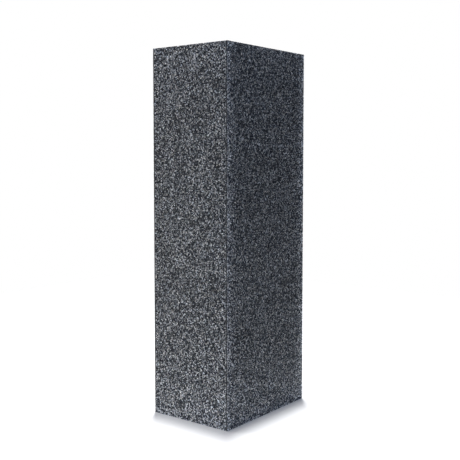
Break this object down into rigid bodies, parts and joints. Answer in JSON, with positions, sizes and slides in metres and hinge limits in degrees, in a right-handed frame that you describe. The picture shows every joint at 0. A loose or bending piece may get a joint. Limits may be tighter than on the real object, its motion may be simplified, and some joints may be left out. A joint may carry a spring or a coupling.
{
  "type": "sanding block",
  "caption": "Foam-cored rectangular sanding block, coarse dark abrasive strips bonded to all its long sides, bare foam ends; stands on end or lies flat, used by hand.",
  "frame": {"origin": "centre of the end it stands on", "axes": "+Z along the block's length, upwards; X across its thickness, so the two wide sides face +X and -X; Y across its width, so the two narrow sides face -Y (front) and +Y (back)"},
  "size_m": [0.025, 0.035, 0.098],
  "materials": {
    "foam": "matte",
    "adhesive": "satin",
    "backing_paper": "matte",
    "grit": "matte"
  },
  "bodies": {
    "root": {"foam_core": "foam", "adhesive_film_wide_right": "adhesive", "backing_paper_wide_right": "backing_paper", "grit_coat_wide_right": "grit", "adhesive_film_wide_left": "adhesive", "backing_paper_wide_left": "backing_paper", "grit_coat_wide_left": "grit", "adhesive_film_narrow_front": "adhesive", "backing_paper_narrow_front": "backing_paper", "grit_coat_narrow_front": "grit", "adhesive_film_narrow_back": "adhesive", "backing_paper_narrow_back": "backing_paper", "grit_coat_narrow_back": "grit"}
  },
  "joints": []
}
